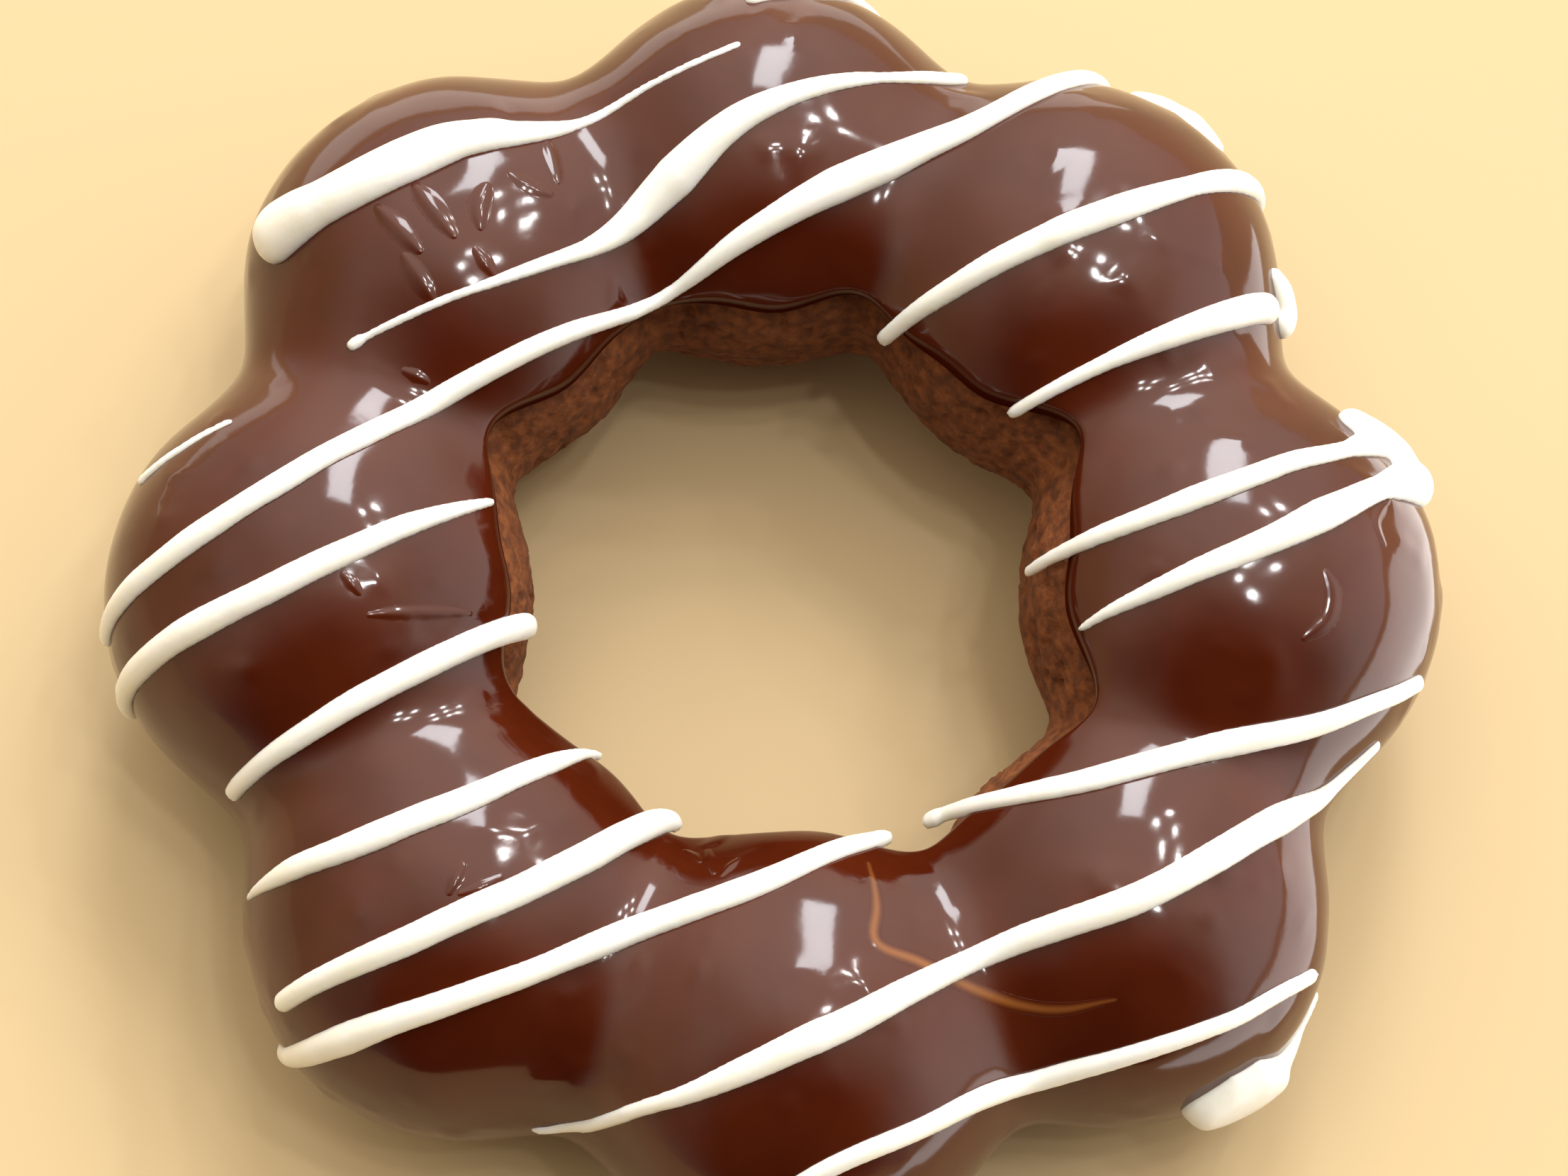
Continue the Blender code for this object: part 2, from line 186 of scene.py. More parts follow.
# Relief of the chocolate: the size of the lumps, their height and the seed of each layer.
COAT_LUMPS = ((9.0, 0.22, 11), (4.6, 0.09, 12))
# Small bumps, where their noise is over a level, in patches that fade in between two levels.
SPOT_SIZE = 2.4 * MM
SPOT_HEIGHT = 0.30 * MM
SPOT_LEVEL = 0.22
SPOT_SEED = 13
PATCH_SIZE = 8.0 * MM
PATCH_LEVELS = (-0.1, 0.35)
PATCH_SEED = 14
# Low folds of the same chocolate, smooth at the sides: widths and path, seen from above.
FOLD_HEIGHT_SHARE = 0.11
FOLD_SUNK = 0.03 * MM
FOLDS = (
    ((0.6, 1.5, 1.7, 1.5, 0.6), ((-25.9, 23.4), (-24.4, 21.8), (-22.8, 19.9))),
    ((0.6, 1.6, 1.8, 1.5, 0.6), ((-23.5, 24.9), (-22.0, 22.9), (-20.6, 20.9))),
    ((0.6, 1.6, 1.7, 1.4, 0.5), ((-18.6, 25.0), (-19.1, 23.3), (-19.0, 21.5))),
    ((0.6, 1.5, 1.6, 1.4, 0.5), ((-24.1, 20.0), (-23.1, 18.4), (-21.9, 16.7))),
    ((0.5, 1.3, 0.5), ((-19.5, 20.4), (-18.8, 19.5), (-18.0, 18.5))),
    ((0.5, 1.2, 1.3, 1.1, 0.5), ((-17.4, 25.9), (-15.9, 24.9), (-14.4, 24.5))),
    ((0.5, 1.2, 1.3, 1.1, 0.5), ((-15.1, 29.0), (-14.6, 27.3), (-14.1, 25.4))),
    ((0.5, 1.2, 0.5), ((-24.2, 12.8), (-23.2, 12.4), (-22.3, 12.0))),
    ((0.4, 1.0, 1.1, 1.0, 0.4), ((-25.8, -4.4), (-22.5, -4.0), (-19.4, -3.5))),
    ((0.5, 1.0, 0.5), ((-27.4, -1.8), (-26.7, -2.5), (-26.1, -3.2))),
    ((0.4, 1.3, 1.5, 1.2, 0.4), ((35.0, -1.2), (35.6, -2.6), (35.4, -4.0), (33.5, -5.7))),
    ((0.5, 1.1, 0.5), ((-19.3, -20.3), (-19.8, -21.4), (-20.3, -22.5))),
    ((0.4, 1.0, 0.4), ((-19.7, -22.4), (-18.2, -21.9), (-16.8, -21.1))),
    ((0.4, 1.0, 0.4), ((-5.7, -18.0), (-5.1, -18.6), (-4.6, -19.2))),
    ((0.4, 1.1, 0.4), ((-4.2, -18.0), (-4.0, -19.2), (-3.8, -20.3))),
    ((0.4, 1.0, 0.4), ((-2.1, -19.0), (-2.8, -19.7), (-3.4, -20.5))),
    ((0.4, 1.1, 1.0, 0.4), ((39.8, 4.5), (38.8, 2.4), (39.4, 1.0))),
)

# Relief of the crumb, as the chocolate's.
CRUMB_LUMPS = ((3.2, 0.20, 21), (1.3, 0.12, 22), (0.6, 0.09, 23))
PIT_SIZE = 1.1 * MM
PIT_DEPTH = 0.9 * MM
PIT_LEVEL = 0.22
PIT_SEED = 24

# How finely each surface is cut up. The coat's rows crowd towards its edges by this share.
COAT_COLUMNS = 560
COAT_ROWS = 120
COAT_UNDER_ROWS = 24
ROW_CROWDING = 0.13
DOUGH_COLUMNS = 520
DOUGH_ROWS = 150

# The noise repeats after this many lumps, and is scaled to run from about -1 to 1.
NOISE_CELLS = 32
NOISE_SCALE = 1.6

# The camera: its distance and tilt towards the front, and where the ring's centre lies in its view.
CAMERA_DISTANCE = 300 * MM
CAMERA_TILT = math.radians(16)
CAMERA_ASIDE = 0.65 * MM
CAMERA_ABOVE = 1.06 * MM
CAMERA_LENS = 103.8
SENSOR_WIDTH = 36.0


def ball_distance(points, bearing_degrees, distance, radius):
    """How far outside one ball each point is."""
    turn = math.radians(bearing_degrees)
    away = np.array([math.cos(turn), math.sin(turn), 0.0])
    along = np.array([-math.sin(turn), math.cos(turn), 0.0])
    reach = radius * MM
    centre_height = reach * BALL_SQUASH - FLAT_SPOT_DEPTH
    offset = points - away * distance * MM
    squashed = np.stack(
        [offset @ away, offset @ along, (offset[..., 2] - centre_height) / BALL_SQUASH], axis=-1
    )
    return np.linalg.norm(squashed, axis=-1) - reach


def ring_distance(points, blend):
    """How far each point is outside the balls, with the creases between them softened by blend."""
    gaps = np.stack([ball_distance(points, *ball) for ball in BALLS])
    nearest = gaps.min(axis=0)
    return nearest - blend * np.log(np.exp((nearest - gaps) / blend).sum(axis=0))


def surface_points(bearings, overs, blend, levels):
    """Where the ray at each bearing and over angle leaves the ring's surface raised by levels."""
    bearings, overs, levels = np.broadcast_arrays(bearings, overs, levels)
    outward = np.stack([np.cos(bearings), np.sin(bearings), np.zeros_like(bearings)], axis=-1)
    rays = outward * np.cos(overs)[..., None] + np.array([0, 0, 1]) * np.sin(overs)[..., None]
    starts = outward * RING_RADIUS + np.array([0, 0, RING_HEIGHT])
    near = np.zeros(bearings.shape)
    far = np.full(bearings.shape, LONGEST_RAY)
    for _ in range(RAY_STEPS):
        middle = (near + far) / 2
        inside = ring_distance(starts + middle[..., None] * rays, blend) < levels
        near = np.where(inside, middle, near)
        far = np.where(inside, far, middle)
    return starts + near[..., None] * rays


def coat_points(bearings, overs):
    """Points on the outside of the chocolate, before its relief."""
    return surface_points(bearings, overs, COAT_BLEND, COAT_GAP + COAT_THICKNESS)


def ring_normals(points, blend):
    """The direction in which the ring faces at each point."""
    slopes = [
        ring_distance(points + step, blend) - ring_distance(points - step, blend)
        for step in np.eye(3) * SLOPE_REACH
    ]
    slopes = np.stack(slopes, axis=-1)
    return slopes / np.linalg.norm(slopes, axis=-1, keepdims=True)


def waves(bearings, table):
    """The sum of a table's waves round the ring."""
    return sum(
        size * MM * np.sin(count * bearings + math.radians(phase)) for count, phase, size in table
    )


def over_at_height(bearings, heights, first_over, last_over):
    """The over angle at which the chocolate passes each height, between two over angles."""
    overs = np.linspace(first_over, last_over, EDGE_SEARCH_STEPS)
    climb = coat_points(bearings[:, None], overs[None, :])[..., 2]
    found = []
    for column, height in zip(climb, heights):
        order = np.argsort(column)
        found.append(np.interp(height, column[order], overs[order]))
    return np.array(found)


def coat_edges(bearings):
    """The over angles of the chocolate's lower edges, outside the ring and in its hole."""
    outer_heights = OUTER_EDGE_HEIGHT + waves(bearings, OUTER_EDGE_WAVES)
    inner_heights = INNER_EDGE_HEIGHT + waves(bearings, INNER_EDGE_WAVES)
    outer = over_at_height(bearings, outer_heights, *OUTER_EDGE_SEARCH)
    inner = over_at_height(bearings, inner_heights, *INNER_EDGE_SEARCH)
    return outer, inner


def noise(points, size, seed):
    """Smooth gradient noise, from about -1 to 1, with lumps of the given size."""
    slopes = np.random.default_rng(seed).normal(size=(NOISE_CELLS,) * 3 + (3,))
    slopes /= np.linalg.norm(slopes, axis=-1, keepdims=True)
    places = points / size
    cells = np.floor(places).astype(int)
    shares = places - cells
    fades = shares**3 * (shares * (shares * 6 - 15) + 10)
    total = np.zeros(points.shape[:-1])
    for corner in itertools.product((0, 1), repeat=3):
        index = np.moveaxis((cells + corner) % NOISE_CELLS, -1, 0)
        value = (slopes[tuple(index)] * (shares - corner)).sum(axis=-1)
        total += value * np.where(corner, fades, 1 - fades).prod(axis=-1)
    return total * NOISE_SCALE


def ease(values, low, high):
    """0 below low, 1 above high, and smooth between them."""
    share = np.clip((values - low) / (high - low), 0, 1)
    return share * share * (3 - 2 * share)


def coat_relief(points):
    """How far the chocolate stands above its smooth form at each point."""
    relief = sum(height * MM * noise(points, size * MM, seed) for size, height, seed in COAT_LUMPS)
    spots = np.maximum(noise(points, SPOT_SIZE, SPOT_SEED) - SPOT_LEVEL, 0)
    patches = ease(noise(points, PATCH_SIZE, PATCH_SEED), *PATCH_LEVELS)
    return relief + SPOT_HEIGHT * spots * patches


def crumb_relief(points):
    """How far the dough stands above or below its smooth form at each point."""
    relief = sum(height * MM * noise(points, size * MM, seed) for size, height, seed in CRUMB_LUMPS)
    pits = np.maximum(noise(points, PIT_SIZE, PIT_SEED) - PIT_LEVEL, 0)
    return relief - PIT_DEPTH * pits


def make_object(name, points, faces, material):
    """A smooth mesh object from points measured from the ring's centre."""
    mesh = bpy.data.meshes.new(name)
    moved = points + np.array([*RING_SHIFT, 0.0])
    mesh.from_pydata(moved.tolist(), [], faces)
    mesh.materials.append(material)
    mesh.shade_smooth()
    mesh.update()
    item = bpy.data.objects.new(name, mesh)
    bpy.context.scene.collection.objects.link(item)
    return item


def tube_faces(columns, rows):
    """Quads of a grid of points that closes on itself both ways."""
    column, row = np.meshgrid(np.arange(columns), np.arange(rows), indexing="ij")
    after, above = (column + 1) % columns, (row + 1) % rows
    corners = [column * rows + row, after * rows + row, after * rows + above, column * rows + above]
    return np.stack(corners, axis=-1).reshape(-1, 4).tolist()


def stop_at_floor(points, bearings):
    """Draws points under the plane z = 0 back along their rays to that plane."""
    bearings = np.broadcast_to(bearings, points.shape[:-1])
    centres = np.stack([np.cos(bearings), np.sin(bearings)], axis=-1) * RING_RADIUS
    kept = RING_HEIGHT / np.maximum(RING_HEIGHT - points[..., 2], RING_HEIGHT)
    flat = centres + (points[..., :2] - centres) * kept[..., None]
    heights = np.maximum(points[..., 2], 0.0)
    return np.concatenate([flat, heights[..., None]], axis=-1)


def make_dough(material):
    """The fried balls, crumbly where the chocolate leaves them bare."""
    bearings = np.arange(DOUGH_COLUMNS) * math.tau / DOUGH_COLUMNS
    overs = -math.pi / 2 + np.arange(DOUGH_ROWS) * math.tau / DOUGH_ROWS
    smooth = surface_points(bearings[:, None], overs[None, :], DOUGH_BLEND, 0.0)
    relief = np.minimum(crumb_relief(smooth), COAT_GAP / 2)
    points = smooth + ring_normals(smooth, DOUGH_BLEND) * relief[..., None]
    points = stop_at_floor(points, bearings[:, None])
    faces = tube_faces(DOUGH_COLUMNS, DOUGH_ROWS)
    return make_object("crumb", points.reshape(-1, 3), faces, material)


def coat_grid():
    """The chocolate skin's points, outer side then underside, in columns, and its thinness."""
    bearings = np.arange(COAT_COLUMNS) * math.tau / COAT_COLUMNS
    outer_edge, inner_edge = coat_edges(bearings)
    span = (inner_edge - outer_edge)[:, None]
    even = np.linspace(0, 1, COAT_ROWS)
    across = even - ROW_CROWDING * np.sin(math.tau * even)
    overs = outer_edge[:, None] + span * across
    from_edge = np.minimum(across, 1 - across) * span * RING_HEIGHT
    lip = np.clip(from_edge / EDGE_LIP, 0, 1)
    swell = np.sin(lip * math.pi / 2)[..., None]
    full = coat_points(bearings[:, None], overs)
    foot = surface_points(bearings[:, None], overs, DOUGH_BLEND, COAT_GAP)
    top = foot + (full - foot) * swell
    relief = coat_relief(top) * ease(from_edge, 0, 2 * EDGE_LIP)
    top = top + ring_normals(top, COAT_BLEND) * relief[..., None]
    back = outer_edge[:, None] + span * np.linspace(1, 0, COAT_UNDER_ROWS + 2)[1:-1]
    under = surface_points(bearings[:, None], back, DOUGH_BLEND, COAT_GAP)
    thinness = np.concatenate([1 - swell[..., 0], np.ones(under.shape[:2])], axis=1)
    return np.concatenate([top, under], axis=1), thinness


def smooth_path(points, spacing):
    """Points at an even spacing along a smooth curve through the given points."""
    points = np.array(points, float)
    legs = np.linalg.norm(np.diff(points, axis=0), axis=1)
    knots = np.concatenate([[0], np.cumsum(legs)])
    slopes = np.gradient(points, knots, axis=0)
    count = max(FEWEST_SECTIONS, int(round(knots[-1] / spacing)) + 1)
    places = np.linspace(0, knots[-1], count)
    leg = np.clip(np.searchsorted(knots, places) - 1, 0, len(legs) - 1)
    width = legs[leg]
    share = (places - knots[leg]) / width
    width, share = width[:, None], share[:, None]
    return (
        (1 + 2 * share) * (1 - share) ** 2 * points[leg]
        + share * (1 - share) ** 2 * width * slopes[leg]
        + share**2 * (3 - 2 * share) * points[leg + 1]
        + share**2 * (share - 1) * width * slopes[leg + 1]
    )


def lay_on_coat(plan):
    """The bearing and over angle of the place on the chocolate under each point seen from above.

    Near the top a point lies straight below. Down the sides, where the wall turns away from
    above, a stroke's plan length is spread so that it runs on down the wall.
    """
    bearings = np.arctan2(plan[:, 1], plan[:, 0])
    overs = np.arange(*PROFILE_SPAN, PROFILE_STEP)
    profile = coat_points(bearings[:, None], overs[None, :])
    from_axis = np.hypot(profile[..., 0], profile[..., 1])
    steps = np.linalg.norm(np.diff(profile, axis=1), axis=2)
    steps = np.maximum(np.abs(np.diff(from_axis, axis=1)), PLAN_SHARE * steps)
    spread = np.concatenate([np.zeros((len(plan), 1)), np.cumsum(steps, axis=1)], axis=1)
    top = int(np.argmin(np.abs(overs - math.pi / 2)))
    spread = from_axis[:, [top]] + spread[:, [top]] - spread
    wanted = np.hypot(plan[:, 0], plan[:, 1])
    found = [np.interp(want, row[::-1], overs[::-1]) for want, row in zip(wanted, spread)]
    return bearings, np.array(found)


def stroke_line(points):
    """A stroke's middle line on the chocolate, finely divided."""
    plan = smooth_path(np.array(points, float) * MM, LINE_SPACING)
    bearings, overs = lay_on_coat(plan)
    return coat_points(bearings, overs)


def bead_stations(line, widths):
    """Even places along a line, closer at its round ends, and the width and rounding at each."""
    lengths = np.concatenate([[0], np.cumsum(np.linalg.norm(np.diff(line, axis=0), axis=1))])
    total = lengths[-1]
    first, last = widths[0] * MM / 2, widths[-1] * MM / 2
    count = max(FEWEST_SECTIONS, int(round((total - first - last) / LINE_SPACING)) + 1)
    closing = 1 - np.cos(np.linspace(END_START, 1, END_STATIONS) * math.pi / 2)
    middle = np.linspace(first, total - last, count)[1:-1]
    places = np.concatenate([first * closing, middle, (total - last * closing)[::-1]])
    line = np.stack([np.interp(places, lengths, line[:, axis]) for axis in range(3)], axis=1)
    if len(widths) == 1:
        widths = widths * 2
    width = np.interp(places / total, np.linspace(0, 1, len(widths)), widths) * MM
    to_end = np.clip(np.minimum(places / first, (total - places) / last), 0, 1)
    return line, width, np.sqrt(1 - (1 - to_end) ** 2)


def bead_grid(points, widths, height_share, sunk, profile):
    """Sections of a bead along a stroke, each a low arch on a foot sunk in the chocolate.

    The profile is the arch's height, as a share of the whole, at each place across it. The bead
    follows the chocolate's own form and relief across its width too.
    """
    line, width, rounding = bead_stations(stroke_line(points), widths)
    normals = ring_normals(line, COAT_BLEND)
    ahead = np.gradient(line, axis=0)
    sides = np.cross(ahead, normals)
    sides /= np.linalg.norm(sides, axis=1, keepdims=True)
    width = width * (1 + WIDTH_WAVER * noise(line, WAVER_LENGTH, WIDTH_WAVER_SEED))
    aside = SIDE_WAVER * noise(line, WAVER_LENGTH, SIDE_WAVER_SEED)
    line = line + sides * aside[:, None]
    height = np.minimum(height_share * width, BEAD_MOST_HEIGHT) * rounding
    across = np.append(np.cos(ARC_TURNS), [-BEAD_FOOT_SHARE, BEAD_FOOT_SHARE])
    across = across * (width * rounding / 2)[:, None]
    lift = np.append(profile, [0, 0]) * height[:, None]
    lift[:, BEAD_ARC_POINTS:] = -sunk
    section = line[:, None] + across[..., None] * sides[:, None]
    off_coat = ring_distance(section, COAT_BLEND) - COAT_GAP - COAT_THICKNESS
    lift = lift + coat_relief(section) - off_coat
    return section + lift[..., None] * normals[:, None]


def bead_faces(stations, rows, start):
    """Faces of a closed bead whose points begin at start."""
    faces = [[start + row for row in range(rows)]]
    for station in range(stations - 1):
        here = start + station * rows
        for row in range(rows):
            above = (row + 1) % rows
            faces.append([here + row, here + rows + row, here + rows + above, here + above])
    faces.append([start + (stations - 1) * rows + row for row in reversed(range(rows))])
    return faces


def make_drizzle(material):
    """Every stroke, run together where they cross."""
    points, faces, start = [], [], 0
    for widths, path in STROKES:
        grid = bead_grid(path, widths, BEAD_HEIGHT_SHARE, BEAD_SUNK, ROUND_PROFILE)
        faces += bead_faces(len(grid), grid.shape[1], start)
        points.append(grid.reshape(-1, 3))
        start += len(points[-1])
    item = make_object("drizzle", np.concatenate(points), faces, material)
    remesh = item.modifiers.new("run_together", "REMESH")
    remesh.mode = "VOXEL"
    remesh.voxel_size = DRIZZLE_VOXEL
    remesh.use_smooth_shade = True
    soften = item.modifiers.new("soften", "SMOOTH")
    soften.factor = SOFTEN_SHARE
    soften.iterations = SOFTEN_TIMES
    keep_evaluated(item, material)
    return item


def keep_evaluated(item, material):
    """Applies all of an object's modifiers."""
    bpy.context.view_layer.update()
    graph = bpy.context.evaluated_depsgraph_get()
    mesh = bpy.data.meshes.new_from_object(item.evaluated_get(graph))
    item.modifiers.clear()
    item.data = mesh
    mesh.materials.clear()
    mesh.materials.append(material)
    mesh.shade_smooth()


def set_values(item, name, values):
    """Stores a number at each point of an object, from one array for each part of its mesh."""
    store = item.data.attributes.new(name, "FLOAT", "POINT").data
    store.foreach_set("value", np.concatenate(values).astype(np.float32))


def make_coat(material):
    """The chocolate skin with its relief, its folds, and the paler streak let into it."""
    grid, thinness = coat_grid()
    faces = tube_faces(COAT_COLUMNS, grid.shape[1])
    beads = [
        bead_grid(path, widths, FOLD_HEIGHT_SHARE, FOLD_SUNK, SMOOTH_PROFILE)
        for widths, path in FOLDS
    ]
    streak = bead_grid(STREAK, STREAK_WIDTHS, STREAK_HEIGHT_SHARE, STREAK_SUNK, SMOOTH_PROFILE)
    beads.append(streak)
    points = [grid.reshape(-1, 3)]
    for bead in beads:
        faces += bead_faces(len(bead), bead.shape[1], sum(len(part) for part in points))
        points.append(bead.reshape(-1, 3))
    item = make_object("coat", np.concatenate(points), faces, material)
    blank = [np.zeros(len(part)) for part in points]
    across = np.append(SMOOTH_PROFILE, [0, 0]) ** STREAK_SOFTNESS
    along = np.sqrt(np.sin(np.linspace(0, math.pi, len(streak))))
    set_values(item, "paleness", blank[:-1] + [np.outer(along, across).reshape(-1)])
    set_values(item, "thinness", [thinness.reshape(-1)] + blank[1:])
    return item


def new_material(name):
    """A material with its node maker, its links and its Principled shader."""
    material = bpy.data.materials.new(name)
    material.use_nodes = True
    tree = material.node_tree
    return material, tree.nodes, tree.links, tree.nodes["Principled BSDF"]


def noise_node(nodes, links, size, detail):
    """Noise in the object's own space with lumps of the given size, as an output socket."""
    place = nodes.new("ShaderNodeTexCoord")
    texture = nodes.new("ShaderNodeTexNoise")
    texture.inputs["Scale"].default_value = 1 / size
    texture.inputs["Detail"].default_value = detail
    links.new(place.outputs["Object"], texture.inputs["Vector"])
    return texture.outputs["Fac"]


def ramp_node(nodes, links, value, stops):
    """A colour ramp through the given places and colours."""
    ramp = nodes.new("ShaderNodeValToRGB")
    while len(ramp.color_ramp.elements) < len(stops):
        ramp.color_ramp.elements.new(0.5)
    for element, (place, colour) in zip(ramp.color_ramp.elements, stops):
        element.position = place
        element.color = (*colour, 1.0)
    links.new(value, ramp.inputs["Fac"])
    return ramp.outputs["Color"]


def stored_value(nodes, name):
    """The number stored under a name at each point, as an output socket."""
    attribute = nodes.new("ShaderNodeAttribute")
    attribute.attribute_name = name
    return attribute.outputs["Fac"]


def bump_node(nodes, links, height, distance):
    """A bump from a height socket, as a normal socket."""
    bump = nodes.new("ShaderNodeBump")
    bump.inputs["Distance"].default_value = distance
    links.new(height, bump.inputs["Height"])
    return bump.outputs["Normal"]


def mix_node(nodes, links, share, first, second):
    """A colour mixed from two colour sockets or colours."""
    mix = nodes.new("ShaderNodeMix")
    mix.data_type = "RGBA"
    links.new(share, mix.inputs["Factor"])
    for socket, value in ((mix.inputs["A"], first), (mix.inputs["B"], second)):
        if isinstance(value, tuple):
            socket.default_value = (*value, 1.0)
        else:
            links.new(value, socket)
    return mix.outputs["Result"]


CHOCOLATE_DARK = (0.056, 0.0072, 0.0016)
CHOCOLATE_LIGHT = (0.070, 0.0105, 0.0026)
CHOCOLATE_STOPS = ((0.35, CHOCOLATE_DARK), (0.65, CHOCOLATE_LIGHT))
BLOTCH_SIZE = 6 * MM
STREAK_COLOUR = (0.23, 0.078, 0.018)
COAT_IOR = 1.5
# The coat shines, and turns dull towards its edge, up to this thinness of the chocolate.
COAT_ROUGHNESS = 0.10
EDGE_ROUGHNESS = 0.60
COAT_SHINE = 0.5
EDGE_SHINE = 0.0
DULL_THINNESS = 0.25
RIPPLE_SIZE = 1.4 * MM
RIPPLE_DEPTH = 0.009 * MM


def dulling_node(nodes, links, thinness, full, dull):
    """A value that goes from full to dull as the chocolate thins out, as an output socket."""
    fade = nodes.new("ShaderNodeMapRange")
    fade.inputs["From Max"].default_value = DULL_THINNESS
    fade.inputs["To Min"].default_value = full
    fade.inputs["To Max"].default_value = dull
    links.new(thinness, fade.inputs["Value"])
    return fade.outputs["Result"]


def chocolate_material():
    """Glossy milk chocolate, paler in the streak and dull where it thins out."""
    material, nodes, links, shader = new_material("milk_chocolate")
    blotches = noise_node(nodes, links, BLOTCH_SIZE, detail=2)
    body = ramp_node(nodes, links, blotches, CHOCOLATE_STOPS)
    paleness = stored_value(nodes, "paleness")
    colour = mix_node(nodes, links, paleness, body, STREAK_COLOUR)
    links.new(colour, shader.inputs["Base Color"])
    thinness = stored_value(nodes, "thinness")
    roughness = dulling_node(nodes, links, thinness, COAT_ROUGHNESS, EDGE_ROUGHNESS)
    links.new(roughness, shader.inputs["Roughness"])
    shine = dulling_node(nodes, links, thinness, COAT_SHINE, EDGE_SHINE)
    links.new(shine, shader.inputs["Specular IOR Level"])
    shader.inputs["IOR"].default_value = COAT_IOR
    ripple = noise_node(nodes, links, RIPPLE_SIZE, detail=2)
    links.new(bump_node(nodes, links, ripple, RIPPLE_DEPTH), shader.inputs["Normal"])
    return material


DRIZZLE_WHITE = (0.93, 0.93, 0.89)
DRIZZLE_CREAM = (0.90, 0.90, 0.82)
DRIZZLE_STOPS = ((0.3, DRIZZLE_CREAM), (0.6, DRIZZLE_WHITE))
DRIZZLE_BLOTCH_SIZE = 3 * MM
DRIZZLE_ROUGHNESS = 0.36
# How much light passes under the surface, how far, and each colour's share of that reach.
GLOW_WEIGHT = 0.6
GLOW_REACH = 0.9 * MM
GLOW_SHARES = (1.0, 0.8, 0.5)
DRIZZLE_GRAIN_SIZE = 0.7 * MM
DRIZZLE_GRAIN_DEPTH = 0.03 * MM


def drizzle_material():
    """Satin white icing that lets a little light in."""
    material, nodes, links, shader = new_material("white_drizzle")
    blotches = noise_node(nodes, links, DRIZZLE_BLOTCH_SIZE, detail=2)
    links.new(ramp_node(nodes, links, blotches, DRIZZLE_STOPS), shader.inputs["Base Color"])
    shader.inputs["Roughness"].default_value = DRIZZLE_ROUGHNESS
    shader.inputs["Subsurface Weight"].default_value = GLOW_WEIGHT
    shader.inputs["Subsurface Radius"].default_value = GLOW_SHARES
    shader.inputs["Subsurface Scale"].default_value = GLOW_REACH
    grain = noise_node(nodes, links, DRIZZLE_GRAIN_SIZE, detail=3)
    links.new(bump_node(nodes, links, grain, DRIZZLE_GRAIN_DEPTH), shader.inputs["Normal"])
    return material


CRUMB_DARK = (0.105, 0.028, 0.005)
CRUMB_BROWN = (0.175, 0.048, 0.010)
CRUMB_PALE = (0.250, 0.077, 0.017)
CRUMB_STOPS = ((0.36, CRUMB_DARK), (0.50, CRUMB_BROWN), (0.68, CRUMB_PALE))
CRUMB_ROUGHNESS = 0.82
CRUMB_SPECK_SIZE = 0.8 * MM
CRUMB_GRAIN_SIZE = 0.5 * MM
CRUMB_GRAIN_DEPTH = 0.15 * MM


def crumb_material():
    """Matte brown fried dough, darker and paler from crumb to crumb."""
    material, nodes, links, shader = new_material("fried_dough")
    specks = noise_node(nodes, links, CRUMB_SPECK_SIZE, detail=5)
    links.new(ramp_node(nodes, links, specks, CRUMB_STOPS), shader.inputs["Base Color"])
    shader.inputs["Roughness"].default_value = CRUMB_ROUGHNESS
    grain = noise_node(nodes, links, CRUMB_GRAIN_SIZE, detail=4)
    links.new(bump_node(nodes, links, grain, CRUMB_GRAIN_DEPTH), shader.inputs["Normal"])
    return material


FLOOR_COLOUR = (0.62, 0.47, 0.26)
FLOOR_ROUGHNESS = 0.7
FLOOR_HALF = 2.5


def make_floor():
    """A plain pale floor at the ring's foot."""
    material, _, _, shader = new_material("pale_floor")
    shader.inputs["Base Color"].default_value = (*FLOOR_COLOUR, 1.0)
    shader.inputs["Roughness"].default_value = FLOOR_ROUGHNESS
    signs = ((-1, -1), (1, -1), (1, 1), (-1, 1))
    corners = [(right * FLOOR_HALF, back * FLOOR_HALF, 0) for right, back in signs]
    mesh = bpy.data.meshes.new("floor")
    mesh.from_pydata(corners, [], [(0, 1, 2, 3)])
    mesh.materials.append(material)
    floor = bpy.data.objects.new("floor", mesh)
    bpy.context.scene.collection.objects.link(floor)


# The room's light: its colour everywhere, and the soft patches that add to it or take from it,
# each by azimuth, elevation, the angles at which it starts and stops fading, and colour.
ROOM_BASE = (1.24, 1.09, 0.87)
ROOM_PATCHES = (
    (75.0, 45.0, 10.0, 56.0, (0.95, 0.95, 0.92)),
    (0.0, 5.0, 5.0, 45.0, (0.60, 0.64, 0.74)),
    (180.0, 0.0, 8.0, 50.0, (-0.45, -0.50, -0.55)),
    (-92.0, 28.0, 24.0, 68.0, (-1.20, -1.06, -0.85)),
)


def direction(azimuth, elevation):
    """The unit vector towards an azimuth and elevation in degrees."""
    turn, rise = math.radians(azimuth), math.radians(elevation)
    level = math.cos(rise)
    return Vector((math.cos(turn) * level, math.sin(turn) * level, math.sin(rise)))


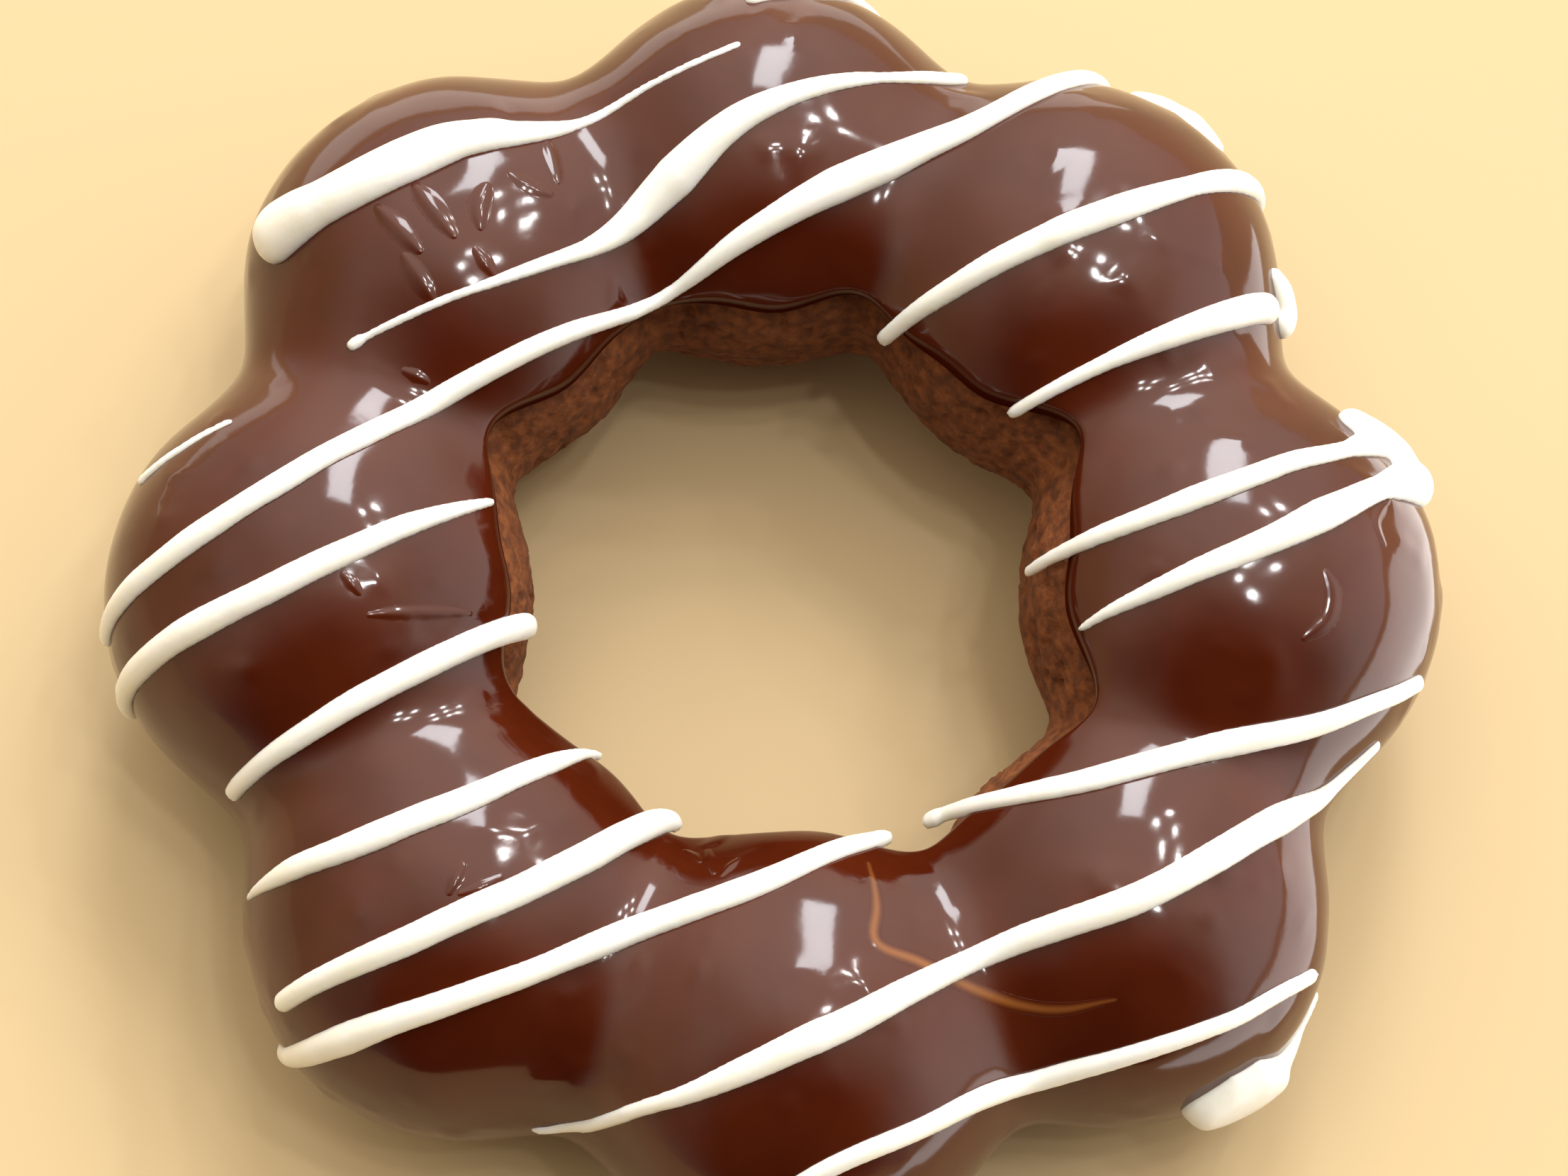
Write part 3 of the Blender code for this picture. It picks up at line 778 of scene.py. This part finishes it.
def patch_colour(nodes, links, towards, patch):
    """What one soft patch of the room adds in each direction, as an output socket."""
    azimuth, elevation, inner, outer, colour = patch
    facing = nodes.new("ShaderNodeVectorMath")
    facing.operation = "DOT_PRODUCT"
    facing.inputs[1].default_value = direction(azimuth, elevation)
    links.new(towards, facing.inputs[0])
    share = nodes.new("ShaderNodeMapRange")
    share.interpolation_type = "SMOOTHSTEP"
    share.inputs["From Min"].default_value = math.cos(math.radians(outer))
    share.inputs["From Max"].default_value = math.cos(math.radians(inner))
    links.new(facing.outputs["Value"], share.inputs["Value"])
    scaled = nodes.new("ShaderNodeVectorMath")
    scaled.operation = "SCALE"
    scaled.inputs[0].default_value = colour
    links.new(share.outputs["Result"], scaled.inputs["Scale"])
    return scaled.outputs["Vector"]


def make_room():
    """A world that is brightest behind on the right and darkest in front, in soft patches."""
    world = bpy.data.worlds.new("soft_room")
    bpy.context.scene.world = world
    world.use_nodes = True
    nodes, links = world.node_tree.nodes, world.node_tree.links
    towards = nodes.new("ShaderNodeTexCoord").outputs["Generated"]
    total = None
    for patch in ROOM_PATCHES:
        added = nodes.new("ShaderNodeVectorMath")
        added.operation = "ADD"
        added.inputs[1].default_value = ROOM_BASE
        if total is not None:
            links.new(total, added.inputs[1])
        links.new(patch_colour(nodes, links, towards, patch), added.inputs[0])
        total = added.outputs["Vector"]
    links.new(total, nodes["Background"].inputs["Color"])


# The ceiling's small lamps, and the window's pane: each stands at the distance from the ring, at
# its own azimuth and elevation.
LAMP_DISTANCE = 1.6
LAMP_ACROSS = 0.072
LAMP_POWER = 1.1
LAMPS = ((45, 49), (56, 44.5), (48, 58), (33, 52), (61, 53), (10, 69), (30, 75), (340, 74), (5, 80))
PANE = (82.0, 40.0)
PANE_SIDES = (0.34, 0.78)
PANE_POWER = 11.0
DAYLIGHT_COLOUR = (0.92, 0.95, 1.0)


def aim(item, azimuth, elevation, target):
    """Places a light at a direction from the target, facing it."""
    towards = direction(azimuth, elevation)
    item.location = target + towards * LAMP_DISTANCE
    item.rotation_euler = towards.to_track_quat("Z", "Y").to_euler()


def area_light(name, shape, sides, power):
    """An area light of the given shape and sides."""
    data = bpy.data.lights.new(name, "AREA")
    data.shape = shape
    data.size, data.size_y = sides
    data.energy = power
    light = bpy.data.objects.new(name, data)
    bpy.context.scene.collection.objects.link(light)
    return light


def make_lights(target):
    """The lamps and the window's pane, all facing the ring."""
    for index, place in enumerate(LAMPS):
        lamp = area_light(f"lamp_{index}", "DISK", (LAMP_ACROSS, LAMP_ACROSS), LAMP_POWER)
        aim(lamp, *place, target)
    pane = area_light("pane", "RECTANGLE", PANE_SIDES, PANE_POWER)
    pane.data.color = DAYLIGHT_COLOUR
    aim(pane, *PANE, target)


# Sheets of soft light lying low outside the view: middle, sides and power of each.
SHEETS = (
    ((0.155, -0.055, 0.002), (0.200, 0.190), 0.29),
    ((-0.060, 0.165, 0.002), (0.200, 0.180), 0.13),
)


def make_sheets():
    """The low sheets, facing up, which the ring's rims reflect."""
    for index, (place, sides, power) in enumerate(SHEETS):
        sheet = area_light(f"sheet_{index}", "RECTANGLE", sides, power)
        sheet.data.color = DAYLIGHT_COLOUR
        sheet.location = place
        sheet.rotation_euler = (math.pi, 0, 0)


def make_camera(target):
    """The photograph's view: a little towards the front from straight above."""
    right = Vector((1, 0, 0))
    up = Vector((0, math.cos(CAMERA_TILT), math.sin(CAMERA_TILT)))
    back = right.cross(up)
    data = bpy.data.cameras.new("camera")
    data.sensor_width = SENSOR_WIDTH
    data.lens = CAMERA_LENS
    camera = bpy.data.objects.new("camera", data)
    turned = Matrix((right, up, back)).transposed().to_4x4()
    place = target + back * CAMERA_DISTANCE + right * CAMERA_ASIDE + up * CAMERA_ABOVE
    camera.matrix_world = Matrix.Translation(place) @ turned
    bpy.context.scene.collection.objects.link(camera)
    bpy.context.scene.camera = camera


def main():
    """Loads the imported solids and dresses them."""
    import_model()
    target = Vector((*RING_SHIFT, RING_HEIGHT))
    coat = make_coat(chocolate_material())
    drizzle = make_drizzle(drizzle_material())
    crumb = make_dough(crumb_material())
    for piece, node, slot in (
        (coat, "chocolate_coat", "chocolate"),
        (drizzle, "chocolate_coat", "drizzle"),
        (crumb, "dough_ring", "dough"),
    ):
        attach(piece, "root")
        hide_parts(node)
    make_floor()
    make_room()
    make_lights(target)
    make_sheets()
    make_camera(target)
    bpy.context.scene.view_settings.view_transform = "Standard"


main()
